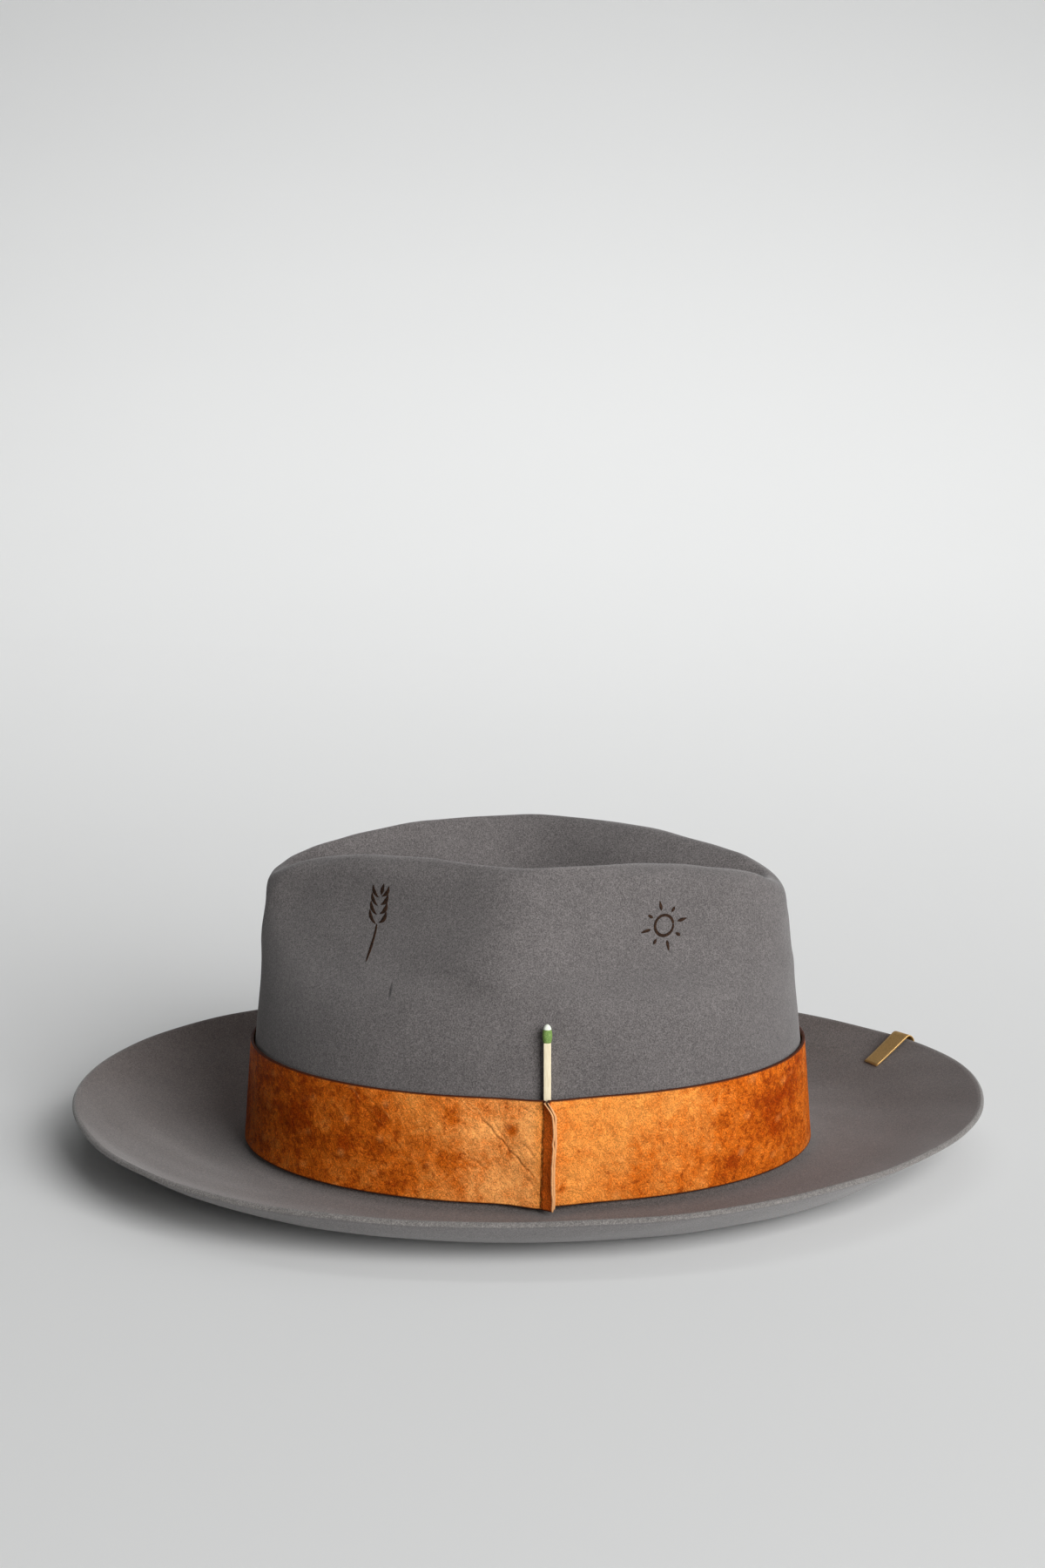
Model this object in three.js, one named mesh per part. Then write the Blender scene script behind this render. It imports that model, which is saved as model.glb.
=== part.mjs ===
// Felt hat with a leather band, a match tucked behind it and a brass clip on the brim.
// Millimetres, +Z up. The front of the hat faces -Y, its left side faces +X.
// The origin is under the middle of the brim, on the surface that the hat rests on.

import * as THREE from 'three';

// Felt
const FELT_THICKNESS = 2.0;
const BEARINGS_ROUND = 72;

// Leather band
const LEATHER_THICKNESS = 1.1;
const BAND_STEPS_ROUND = 72;
const SEAM_BEARING = 87.0;
const FIN_LENGTH = 5.2;
const FIN_LEAN = 40;
const FIN_SLIT = 0.3;
const BULGE_HALF_WIDTH = 12;
const BULGE_AT_HEIGHTS = [3.0, 4.6, 3.2];

// Match
const STICK_SIDE = 2.6;
const STICK_LOW_Z = 21;
const STICK_HIGH_Z = 61.6;
const MATCH_Y = 6.6;
const MATCH_X_AT_BAND = 81.5;
const MATCH_SLOPE = -0.12;
const BAND_TOP_Z = 42.3;
const HEAD_RADIUS = 1.75;
const HEAD_LENGTH = 4.2;
const TIP_LENGTH = 1.8;
const MATCH_GAP = 0.3;

// Brass clip
const CLIP_BEARING = 331.6;
const CLIP_SKEW = 2.2;
const CLIP_STAND = 0.8;
const CLIP_WIDTH = 9.2;
const CLIP_REACH = 155;
const CLIP_THICKNESS = 0.7;
const CLIP_GAP = 0.45;
const CLIP_TOP_LENGTH = 18.5;
const CLIP_UNDER_LENGTH = 11;
const CLIP_PAST_EDGE = 0.3;
const CLIP_FOLD_DEPTH = 0.6;

// Rings of the felt's outer face, from the middle of the top dent to the brim's edge.
// Each row: name, reach to the front, reach to the back, half-widths and heights.
// Half-widths and heights stand at equal steps of bearing from the back to the front.
const FELT_RINGS = [
  ['dent_centre', 2, 2, [2, 2], [90, 90]],
  ['dent_floor', 40, 38, [12, 11, 12.5, 16, 14, 12, 12], [91, 91]],
  ['dent_wall', 66, 64, [18, 16, 20, 31, 22, 15, 16], [94, 95.4, 96.6, 97.4, 96.9, 95.8, 94.4]],
  ['ridge_inner', 82.4, 81.6, [28, 22.5, 26.5, 40.6, 28, 18.8, 21],
    [98.8, 103.6, 108, 110.3, 109.4, 105.6, 101]],
  ['ridge', 88.1, 88.6, [38.8, 30.1, 34, 45.7, 31.7, 21.5, 27.9],
    [102.4, 108, 113.8, 115.7, 116.3, 111.8, 105.2]],
  ['ridge_outer', 94.6, 93.4, [44, 40.6, 38.4, 38.6, 42.4, 45.6, 49.5, 41.8, 35.8, 29.4, 25, 27, 31],
    [99.8, 105, 110.8, 113.4, 112.3, 107.9, 103.2]],
  ['wall_upper', 97.1, 95.8, [50, 50, 48, 46.8, 48, 53.5, 59, 47.5, 36.3, 28, 21.8, 22, 24],
    [90, 97, 100, 99, 92]],
  ['wall_high', 98.6, 97.4, [63, 62.5, 60.5, 59, 59, 62.3, 68.2, 57.3, 46.6, 39.4, 36, 40.5, 46],
    [77.5, 80.7, 83.2, 83.5, 84, 83, 80]],
  ['wall_mid', 99.3, 98.6, [72, 72.5, 73, 73.3, 73.5, 73.8, 73.9, 73.3, 72.2, 71.1, 70.4, 70.4, 70.5],
    [66, 68.2, 69.6, 70, 67.5, 64, 62.5]],
  ['band_top', 101.2, 101.2, [79.7, 79.7], [42, 42]],
  ['crown_base', 103.5, 103.5, [81.9, 81.9], [6, 6]],
  ['brim_root', 105.6, 105.6, [84.2, 84.2], [2.7, 2.7]],
  ['rest_inner', 111.5, 111.5, [92.5, 92.5], [1.6, 1.6]],
  ['rest_outer', 119.5, 119.5, [102.5, 102.5], [1.7, 1.7]],
  ['brim_rise', 135.1, 135.3, [120.1, 120.5, 119.4, 119.1, 121, 120.2, 120], [5.5, 5.1, 5.2, 5.2, 5.6]],
  ['brim_lip', 155.5, 154, [134.3, 132.3, 133.9, 134.5, 137, 136.5, 135], [14.9, 13.9, 11.9, 11.9, 14]],
  ['brim_edge', 168, 168, [144.2, 138, 141.9, 142.5, 148.3, 153, 146.2], [23, 20.5, 18.7, 20, 20.8]],
];
const STEPS_BETWEEN_RINGS = [2, 2, 3, 3, 3, 3, 2, 2, 3, 2, 2, 2, 1, 2, 2, 2];

// How far the sides of a ring are moved along Y: the crown's side corners lie ahead of its middle.
const SIDE_SHIFT = { ridge_outer: -3, wall_upper: -6, wall_high: -11 };

// Outer face of the band's lower and upper edges: reach to the front and back, half-width, height.
const BAND_LOW = { reach: 105.8, half: 84.2, z: 4.4 };
const BAND_HIGH = { reach: 103.0, half: 81.5, z: BAND_TOP_Z };

const COLOURS = {
  felt: 0x6b6869,
  leather: 0xb5662a,
  wood: 0xe6d3a6,
  match_green: 0x5c8f45,
  match_white: 0xe9ece6,
  brass: 0xb7974f,
};

const rad = THREE.MathUtils.degToRad;

// Smooth curve through values set at equal steps of bearing, mirrored at both ends.
function atBearing(values, bearing) {
  const last = values.length - 1;
  const place = bearing / Math.PI * last;
  const k = Math.min(Math.floor(place), last - 1);
  const f = place - k;
  const pick = (i) => values[i < 0 ? -i : i > last ? 2 * last - i : i];
  const [p0, p1, p2, p3] = [pick(k - 1), pick(k), pick(k + 1), pick(k + 2)];
  const square = 2 * p0 - 5 * p1 + 4 * p2 - p3;
  const cube = 3 * p1 - p0 - 3 * p2 + p3;
  return 0.5 * (2 * p1 + (p2 - p0) * f + square * f * f + cube * f * f * f);
}

function ringPoint(row, theta) {
  const [name, front, back, halfWidths, heights] = row;
  const bearing = Math.acos(THREE.MathUtils.clamp(Math.cos(theta), -1, 1));
  const x = Math.sin(theta) * atBearing(halfWidths, bearing);
  const shift = (SIDE_SHIFT[name] ?? 0) * Math.sin(theta) ** 2;
  const y = (back - front) / 2 + (back + front) / 2 * Math.cos(theta) + shift;
  return new THREE.Vector3(x, y, atBearing(heights, bearing));
}

// Point of the felt's outer face at ring number v (a fraction falls between rings).
function feltPoint(v, theta) {
  const last = FELT_RINGS.length - 1;
  const k = Math.min(Math.floor(v), last - 1);
  const p1 = ringPoint(FELT_RINGS[k], theta);
  const p2 = ringPoint(FELT_RINGS[k + 1], theta);
  const beyond = (p, q) => p.clone().multiplyScalar(2).sub(q);
  const p0 = k > 0 ? ringPoint(FELT_RINGS[k - 1], theta) : beyond(p1, p2);
  const p3 = k + 2 <= last ? ringPoint(FELT_RINGS[k + 2], theta) : beyond(p2, p1);
  const curve = new THREE.CatmullRomCurve3([p0, p1, p2, p3], false, 'centripetal');
  return curve.getPoint((1 + v - k) / 3);
}

function feltNormal(v, theta) {
  const last = FELT_RINGS.length - 1;
  const small = 0.02;
  const out = feltPoint(Math.min(v + small, last), theta).sub(feltPoint(Math.max(v - small, 0), theta));
  const round = feltPoint(v, theta + small).sub(feltPoint(v, theta - small));
  return round.cross(out).normalize();
}

function feltUnderside(v, theta) {
  const p = feltPoint(v, theta).addScaledVector(feltNormal(v, theta), -FELT_THICKNESS);
  p.z = Math.max(p.z, 0);
  return p;
}

// Closed solid from a stack of closed rings of points, with a point at each end.
function shellFromRings(rings, startPoint, endPoint) {
  const count = rings[0].length;
  const points = [startPoint, ...rings.flat(), endPoint];
  const at = (ring, i) => 1 + ring * count + i % count;
  const faces = [];
  for (let i = 0; i < count; i++) {
    faces.push([0, at(0, i + 1), at(0, i)]);
    for (let r = 0; r + 1 < rings.length; r++) {
      faces.push([at(r, i), at(r, i + 1), at(r + 1, i)]);
      faces.push([at(r, i + 1), at(r + 1, i + 1), at(r + 1, i)]);
    }
    faces.push([points.length - 1, at(rings.length - 1, i), at(rings.length - 1, i + 1)]);
  }
  return solid(points, faces);
}

// Closed solid from equal loops of points along a path, with flat ends.
function barFromLoops(loops) {
  const count = loops[0].length;
  const points = loops.flat();
  const at = (loop, i) => loop * count + i % count;
  const faces = [];
  for (let k = 0; k + 1 < loops.length; k++) {
    for (let i = 0; i < count; i++) {
      faces.push([at(k, i), at(k, i + 1), at(k + 1, i)]);
      faces.push([at(k, i + 1), at(k + 1, i + 1), at(k + 1, i)]);
    }
  }
  for (let i = 1; i + 1 < count; i++) {
    faces.push([at(0, 0), at(0, i + 1), at(0, i)]);
    faces.push([at(loops.length - 1, 0), at(loops.length - 1, i), at(loops.length - 1, i + 1)]);
  }
  return solid(points, faces);
}

// Turns the faces outward if the volume they enclose comes out negative.
function solid(points, faces) {
  const volume = faces.reduce((sum, [a, b, c]) => (
    sum + points[a].dot(points[b].clone().cross(points[c]))
  ), 0);
  const turned = volume < 0 ? faces.map(([a, b, c]) => [a, c, b]) : faces;
  const geometry = new THREE.BufferGeometry();
  geometry.setAttribute('position', new THREE.Float32BufferAttribute(
    points.flatMap((p) => [p.x, p.y, p.z]), 3));
  geometry.setIndex(turned.flat());
  geometry.computeVertexNormals();
  return geometry;
}

function node(name, geometry, colour, roughness, metalness = 0) {
  const material = new THREE.MeshStandardMaterial({ color: colour, roughness, metalness });
  material.name = `${name}_surface`;
  const mesh = new THREE.Mesh(geometry, material);
  mesh.name = name;
  return mesh;
}

// Felt body: the crown and the brim are one sheet.
function feltBody() {
  const stations = [];
  STEPS_BETWEEN_RINGS.forEach((steps, k) => {
    for (let i = 0; i < steps; i++) stations.push(k + i / steps);
  });
  stations.push(FELT_RINGS.length - 1);
  const thetas = Array.from({ length: BEARINGS_ROUND }, (_, i) => 2 * Math.PI * i / BEARINGS_ROUND);
  const outer = stations.map((v) => thetas.map((t) => feltPoint(v, t)));
  const under = stations.map((v) => thetas.map((t) => feltUnderside(v, t)));
  const top = outer[0].reduce((sum, p) => sum.add(p), new THREE.Vector3()).divideScalar(BEARINGS_ROUND);
  const below = top.clone().setZ(top.z - FELT_THICKNESS);
  return shellFromRings([...outer, ...under.reverse()], top, below);
}

// Outward push on the band where the match stands behind it, at a height of 0, 0.5 or 1.
function bulge(distance, height) {
  return BULGE_AT_HEIGHTS[height * 2] * Math.exp(-((distance / BULGE_HALF_WIDTH) ** 2));
}

// Middle line of the leather round the crown, at a height from 0 (lower edge) to 1 (upper edge).
function bandWallPoint(theta, height) {
  const inset = LEATHER_THICKNESS / 2;
  const reach = THREE.MathUtils.lerp(BAND_LOW.reach, BAND_HIGH.reach, height) - inset;
  const half = THREE.MathUtils.lerp(BAND_LOW.half, BAND_HIGH.half, height) - inset;
  const x = half * Math.sin(theta);
  const y = reach * Math.cos(theta);
  const out = x > 0 ? bulge(y - MATCH_Y, height) : 0;
  return new THREE.Vector2(x + out, y);
}

// Path of the leather in plan: one turned-out end, round the crown, the other turned-out end.
function bandPath(height) {
  const seam = bandWallPoint(rad(SEAM_BEARING), height);
  const along = new THREE.Vector2(Math.cos(rad(FIN_LEAN)), Math.sin(rad(FIN_LEAN)));
  const side = new THREE.Vector2(-along.y, along.x).multiplyScalar((LEATHER_THICKNESS + FIN_SLIT) / 2);
  const finPoint = (distance, sign) => seam.clone().addScaledVector(along, distance).addScaledVector(side, sign);
  const clear = 0.024;
  const first = rad(SEAM_BEARING) - clear;
  const last = rad(SEAM_BEARING) + clear - 2 * Math.PI;
  const wall = Array.from({ length: BAND_STEPS_ROUND + 1 }, (_, i) => (
    bandWallPoint(THREE.MathUtils.lerp(first, last, i / BAND_STEPS_ROUND), height)
  ));
  return [finPoint(FIN_LENGTH, 1), finPoint(1.6, 1), ...wall, finPoint(1.1, -1), finPoint(FIN_LENGTH, -1)];
}

// Points on both sides of a path, half a thickness away.
function thicken(path, thickness) {
  return path.map((p, i) => {
    const before = path[Math.max(i - 1, 0)];
    const after = path[Math.min(i + 1, path.length - 1)];
    const d1 = p.clone().sub(before).normalize();
    const d2 = after.clone().sub(p).normalize();
    const direction = d1.clone().add(d2).normalize();
    const bend = Math.max(i === 0 || i === path.length - 1 ? 1 : direction.dot(d2), 0.6);
    const normal = new THREE.Vector2(-direction.y, direction.x).multiplyScalar(thickness / 2 / bend);
    return [p.clone().add(normal), p.clone().sub(normal)];
  });
}

function leatherBand() {
  const heights = [0, 0.5, 1];
  const sides = heights.map((h) => thicken(bandPath(h), LEATHER_THICKNESS));
  const z = (h) => THREE.MathUtils.lerp(BAND_LOW.z, BAND_HIGH.z, h);
  const loops = sides[0].map((_, i) => {
    const up = heights.map((h, k) => new THREE.Vector3(sides[k][i][0].x, sides[k][i][0].y, z(h)));
    const down = heights.map((h, k) => new THREE.Vector3(sides[k][i][1].x, sides[k][i][1].y, z(h)));
    return [...up, ...down.reverse()];
  });
  return barFromLoops(loops);
}

// Axis of the match, leaning in over the crown's wall.
function matchAxis(z) {
  return new THREE.Vector3(MATCH_X_AT_BAND + MATCH_SLOPE * (z - BAND_TOP_Z), MATCH_Y, z);
}

function matchStick() {
  const h = STICK_SIDE / 2;
  const corners = [[-h, -h], [h, -h], [h, h], [-h, h]];
  return barFromLoops([STICK_LOW_Z, STICK_HIGH_Z].map((z) => (
    corners.map(([x, y]) => matchAxis(z).add(new THREE.Vector3(x, y, 0)))
  )));
}

// Round body on the match's axis: rows of [height above its foot, radius].
function matchRound(footZ, rows) {
  const count = 16;
  return barFromLoops(rows.map(([up, radius]) => (
    Array.from({ length: count }, (_, i) => {
      const a = 2 * Math.PI * i / count;
      return matchAxis(footZ + up).add(new THREE.Vector3(radius * Math.cos(a), radius * Math.sin(a), 0));
    })
  )));
}

function matchHead() {
  const r = HEAD_RADIUS;
  const top = HEAD_LENGTH;
  return matchRound(STICK_HIGH_Z + MATCH_GAP, [
    [0, 0.74 * r], [0.5, 0.88 * r], [1.6, r], [0.7 * top, r], [top, 0.9 * r],
  ]);
}

function matchTip() {
  const r = HEAD_RADIUS;
  const top = TIP_LENGTH;
  return matchRound(STICK_HIGH_Z + HEAD_LENGTH + 2 * MATCH_GAP, [
    [0, 0.86 * r], [0.45 * top, 0.72 * r], [0.8 * top, 0.46 * r], [top, 0.14 * r],
  ]);
}

// Ring number at a distance in from the brim's edge, measured over the felt.
function ringNumberAtReach(distance, theta) {
  const last = FELT_RINGS.length - 1;
  const edge = feltPoint(last, theta);
  let v = last;
  while (feltPoint(v, theta).distanceTo(edge) < distance) v -= 0.02;
  return v;
}

// Section of the clip at one bearing: over the felt, round its edge and back beneath it. Away
// from the edge it turns by the skew, and at the edge it stands further off the felt's upper face.
function clipSection(theta, offset) {
  const last = FELT_RINGS.length - 1;
  const skew = rad(CLIP_SKEW);
  const inner = ringNumberAtReach(CLIP_TOP_LENGTH, theta + skew);
  const under = ringNumberAtReach(CLIP_UNDER_LENGTH, theta);
  const steps = 6;
  const over = Array.from({ length: steps + 1 }, (_, i) => {
    const share = i / steps;
    const v = THREE.MathUtils.lerp(inner, last, share);
    const turned = theta + skew * (1 - share);
    return feltPoint(v, turned).addScaledVector(feltNormal(v, turned), offset + CLIP_STAND * share);
  });
  const edge = feltPoint(last, theta);
  const normal = feltNormal(last, theta);
  const outward = edge.clone().sub(feltPoint(last - 0.05, theta)).normalize();
  const middle = edge.clone().addScaledVector(normal, -FELT_THICKNESS / 2);
  const bend = [60, 30, 0, -30, -60].map((angle) => {
    const radius = FELT_THICKNESS / 2 + offset + CLIP_STAND * (1 + Math.sin(rad(angle))) / 2;
    return middle.clone()
      .addScaledVector(outward, CLIP_FOLD_DEPTH * radius * Math.cos(rad(angle)) + CLIP_PAST_EDGE)
      .addScaledVector(normal, radius * Math.sin(rad(angle)));
  });
  const back = Array.from({ length: steps + 1 }, (_, i) => {
    const share = i / steps;
    const v = THREE.MathUtils.lerp(last, under, share);
    const turned = theta + skew * share * (CLIP_UNDER_LENGTH / CLIP_TOP_LENGTH);
    return feltPoint(v, turned).addScaledVector(feltNormal(v, turned), -FELT_THICKNESS - offset);
  });
  return [...over, ...bend, ...back];
}

function brimClip() {
  const spread = CLIP_WIDTH / 2 / CLIP_REACH;
  const thetas = [-1, 0, 1].map((side) => rad(CLIP_BEARING) + side * spread);
  const inside = thetas.map((t) => clipSection(t, CLIP_GAP));
  const outside = thetas.map((t) => clipSection(t, CLIP_GAP + CLIP_THICKNESS));
  const loops = inside[0].map((_, i) => [
    ...inside.map((row) => row[i]),
    ...outside.map((row) => row[i]).reverse(),
  ]);
  return barFromLoops(loops);
}

const hat = new THREE.Group();
hat.name = 'felt_hat';
hat.add(node('felt_body', feltBody(), COLOURS.felt, 0.95));
hat.add(node('leather_band', leatherBand(), COLOURS.leather, 0.6));
hat.add(node('match_stick', matchStick(), COLOURS.wood, 0.8));
hat.add(node('match_head', matchHead(), COLOURS.match_green, 0.8));
hat.add(node('match_tip', matchTip(), COLOURS.match_white, 0.8));
hat.add(node('brim_clip', brimClip(), COLOURS.brass, 0.35, 1));

export default hat;
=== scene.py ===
# %% [markdown]
# # A felt hat, rebuilt piece by piece
# The packed solids give the size and the place of every piece. This file makes the same
# pieces again with the detail that the eye looks for: a soft blocked crown, a raw-cut brim,
# a mottled leather band with its turned-out seam, a match and a small folded clip of brass.
# Every surface is worked out with numpy as whole arrays, in metres, in the solids' own frame.

# %% Load the packed solids
import math
import bpy
import numpy as np
from mathutils import Euler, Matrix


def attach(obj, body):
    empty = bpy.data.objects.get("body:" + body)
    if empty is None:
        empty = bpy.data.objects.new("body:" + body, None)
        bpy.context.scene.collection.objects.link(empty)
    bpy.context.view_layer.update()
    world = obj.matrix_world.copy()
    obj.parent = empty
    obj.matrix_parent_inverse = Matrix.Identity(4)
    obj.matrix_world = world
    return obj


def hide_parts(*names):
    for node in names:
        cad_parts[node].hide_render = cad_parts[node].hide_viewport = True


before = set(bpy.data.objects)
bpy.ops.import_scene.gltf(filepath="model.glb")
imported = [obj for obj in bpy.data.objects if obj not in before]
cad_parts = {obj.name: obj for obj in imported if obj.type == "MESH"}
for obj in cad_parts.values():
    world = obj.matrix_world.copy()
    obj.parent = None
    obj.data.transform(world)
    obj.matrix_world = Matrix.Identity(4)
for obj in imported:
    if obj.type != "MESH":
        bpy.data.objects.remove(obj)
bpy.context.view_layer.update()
MM = 0.001
print("solids:", sorted(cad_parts))

# %% [markdown]
# ## The camera
# The photo was taken from the hat's left side, a little above the brim, with a short
# telephoto lens. The camera is set first, so that each piece can be judged from there.

# %% Set the camera
LENS_MM = 72.0
CAMERA_PLACE = (1.126, -0.002, 0.366)
CAMERA_DOWN = math.radians(11.5)


def add_object(name, data):
    """A new object that shows the data, put into the scene."""
    added = bpy.data.objects.new(name, data)
    bpy.context.scene.collection.objects.link(added)
    return added


camera_data = bpy.data.cameras.new("photo_camera")
camera_data.lens = LENS_MM
camera_data.sensor_width = 36.0
camera = add_object("photo_camera", camera_data)
camera.location = CAMERA_PLACE
camera.rotation_euler = Euler((math.pi / 2 - CAMERA_DOWN, 0, math.pi / 2))
bpy.context.scene.camera = camera
print("camera", LENS_MM, "mm, at", CAMERA_PLACE)

# %% [markdown]
# ## Helpers that turn arrays into meshes
# A surface here is a grid of points, rows by columns. The faces are the grid's cells, so
# one small function can number them all at once, and another can fill the mesh.

# %% Faces of a grid
def grid_cells(rows, columns, closed=False):
    """Four point numbers for each cell of a grid; a closed grid joins its last column to its first."""
    r, c = np.meshgrid(np.arange(rows - 1), np.arange(columns - (not closed)), indexing="ij")
    n = (c + 1) % columns
    cells = np.stack([r * columns + c, r * columns + n, (r + 1) * columns + n, (r + 1) * columns + c], -1)
    return cells.reshape(-1, 4)


def fan_cells(centre, ring, flip=False):
    """Three point numbers for each slice between a centre and a closed ring."""
    ring = np.asarray(ring)
    after = np.roll(ring, -1)
    pair = (after, ring) if flip else (ring, after)
    return np.stack([np.full(len(ring), centre), *pair], -1)


def capped(loops, first=0):
    """Points and faces of a stack of equal loops, closed at both ends by a fan round their middle."""
    rows, columns = loops.shape[:2]
    count, ring = rows * columns, np.arange(columns)
    points = np.concatenate([loops.reshape(-1, 3), loops[0].mean(0)[None], loops[-1].mean(0)[None]])
    faces = [
        grid_cells(rows, columns, closed=True),
        fan_cells(count, ring, flip=True),
        fan_cells(count + 1, (rows - 1) * columns + ring),
    ]
    return points, [group + first for group in faces]


print("cells of a closed grid of 3 by 4 points:", len(grid_cells(3, 4, closed=True)))

# %% Meshes and pieces
def signed_volume(points, faces):
    """Sum of the volumes between the origin and each face, which is negative if the faces point in."""
    total = 0.0
    for group in faces:
        a, b = points[group[:, 0]], points[group[:, 1]]
        for k in range(2, group.shape[1]):
            c = points[group[:, k]]
            total += np.einsum("ij,ij->i", a, np.cross(b, c)).sum()
            b = c
    return total / 6


def mesh_object(name, points, faces):
    """A smoothly shaded mesh from points in metres and groups of faces."""
    mesh = bpy.data.meshes.new(name)
    mesh.from_pydata(points.tolist(), [], [f for group in faces for f in group.tolist()])
    mesh.polygons.foreach_set("use_smooth", np.ones(len(mesh.polygons), bool))
    mesh.update()
    return add_object(name, mesh)


def make_piece(name, points, faces, body="root", stands_for=None):
    """Builds one mesh whose faces are turned outwards, and ties it to the solids."""
    points = np.asarray(points, float).reshape(-1, 3)
    if signed_volume(points, faces) < 0:
        faces = [group[:, ::-1] for group in faces]
    piece = mesh_object(name, points, faces)
    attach(piece, body)
    if stands_for:
        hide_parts(stands_for)
    triangles = sum(len(group) * (group.shape[1] - 2) for group in faces)
    print(f"{name}: {len(points)} points, {triangles} triangles")
    return piece


def store(piece, name, values):
    """Keeps one number for each point of a piece, for its material to read."""
    layer = piece.data.attributes.new(name, "FLOAT", "POINT")
    layer.data.foreach_set("value", np.asarray(values, np.float32).ravel())

# %% [markdown]
# ## The felt's rings
# A felt body is steamed and pressed over a block, so it is one skin without seams. It can be
# described by a few closed rings, from the middle of the dent in the top, over the ridge,
# down the wall and out to the brim's edge. Each ring has its reach to the front and to the
# back, and half-widths and heights at equal steps of bearing. More numbers stand where the
# wall is pinched. These are the sizes that the solids use, in millimetres, so the skin made
# here lies on the solid felt.

# %% Ring table
FELT_RINGS = [
    ("dent_centre", 2, 2, [2, 2, 2, 2, 2, 2, 2], [90, 90, 90, 90, 90]),
    ("dent_floor", 40, 38, [12, 11, 12.5, 16, 14, 12, 12], [91, 91, 91, 91, 91]),
    ("dent_wall", 66, 64, [18, 16, 20, 31, 22, 15, 16], [94, 95.4, 96.6, 97.4, 96.9, 95.8, 94.4]),
    ("ridge_inner", 82.4, 81.6, [28, 22.5, 26.5, 40.6, 28, 18.8, 21],
     [98.8, 103.6, 108, 110.3, 109.4, 105.6, 101]),
    ("ridge", 88.1, 88.6, [38.8, 30.1, 34, 45.7, 31.7, 21.5, 27.9],
     [102.4, 108, 113.8, 115.7, 116.3, 111.8, 105.2]),
    ("ridge_outer", 94.6, 93.4, [44, 40.6, 38.4, 38.6, 42.4, 45.6, 49.5, 41.8, 35.8, 29.4, 25, 27, 31],
     [99.8, 105, 110.8, 113.4, 112.3, 107.9, 103.2]),
    ("wall_upper", 97.1, 95.8, [50, 50, 48, 46.8, 48, 53.5, 59, 47.5, 36.3, 28, 21.8, 22, 24],
     [90, 97, 100, 99, 92]),
    ("wall_high", 98.6, 97.4, [63, 62.5, 60.5, 59, 59, 62.3, 68.2, 57.3, 46.6, 39.4, 36, 40.5, 46],
     [77.5, 80.7, 83.2, 83.5, 84, 83, 80]),
    ("wall_mid", 99.3, 98.6, [72, 72.5, 73, 73.3, 73.5, 73.8, 73.9, 73.3, 72.2, 71.1, 70.4, 70.4, 70.5],
     [66, 68.2, 69.6, 70, 67.5, 64, 62.5]),
    ("band_top", 101.2, 101.2, [79.7] * 7, [42] * 5),
    ("crown_base", 103.5, 103.5, [81.9] * 7, [6] * 5),
    ("brim_root", 105.6, 105.6, [84.2] * 7, [2.7] * 5),
    ("rest_inner", 111.5, 111.5, [92.5] * 7, [1.6] * 5),
    ("rest_outer", 119.5, 119.5, [102.5] * 7, [1.7] * 5),
    ("brim_rise", 135.1, 135.3, [120.1, 120.5, 119.4, 119.1, 121, 120.2, 120], [5.5, 5.1, 5.2, 5.2, 5.6]),
    ("brim_lip", 155.5, 154, [134.3, 132.3, 133.9, 134.5, 137, 136.5, 135], [14.9, 13.9, 11.9, 11.9, 14]),
    ("brim_edge", 168, 168, [144.2, 138, 141.9, 142.5, 148.3, 153, 146.2], [23, 20.5, 18.7, 20, 20.8]),
]
SIDE_SHIFT = {"ridge_outer": -3, "wall_upper": -6, "wall_high": -11}
RING_NUMBER = {row[0]: k for k, row in enumerate(FELT_RINGS)}
LAST_RING = len(FELT_RINGS) - 1
print(len(FELT_RINGS), "rings")

# %% [markdown]
# ## From rings to a skin
# Round the hat, each ring is a smooth curve through its bearings. Across the hat, a curve
# runs from ring to ring at one bearing. It is the centripetal kind, which neither loops nor
# overshoots where rings lie close together, as they do at the ridge.

# %% Rings at any angle
def at_bearing(values, bearing):
    """Cubic through values at equal bearings from the back (0) to the front (pi), mirrored past both."""
    values = np.asarray(values, float)
    last = len(values) - 1
    place = bearing / np.pi * last
    k = np.clip(np.floor(place).astype(int), 0, last - 1)
    f = place - k

    def pick(i):
        return values[np.where(i < 0, -i, np.where(i > last, 2 * last - i, i))]

    p0, p1, p2, p3 = pick(k - 1), pick(k), pick(k + 1), pick(k + 2)
    square = 2 * p0 - 5 * p1 + 4 * p2 - p3
    cube = 3 * p1 - p0 - 3 * p2 + p3
    return 0.5 * (2 * p1 + (p2 - p0) * f + square * f**2 + cube * f**3)


def ring_points(theta):
    """All rings at the angles theta: x = half-width times sin, y = middle plus reach times cos."""
    bearing = np.arccos(np.clip(np.cos(theta), -1, 1))
    rings = []
    for name, front, back, half_widths, heights in FELT_RINGS:
        x = np.sin(theta) * at_bearing(half_widths, bearing)
        shift = SIDE_SHIFT.get(name, 0) * np.sin(theta) ** 2
        y = (back - front) / 2 + (back + front) / 2 * np.cos(theta) + shift
        rings.append(np.stack([x, y, at_bearing(heights, bearing)], -1))
    return np.array(rings)


print("edge of the brim at the left side:", ring_points(np.array([np.pi / 2]))[-1].round(1))

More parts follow.
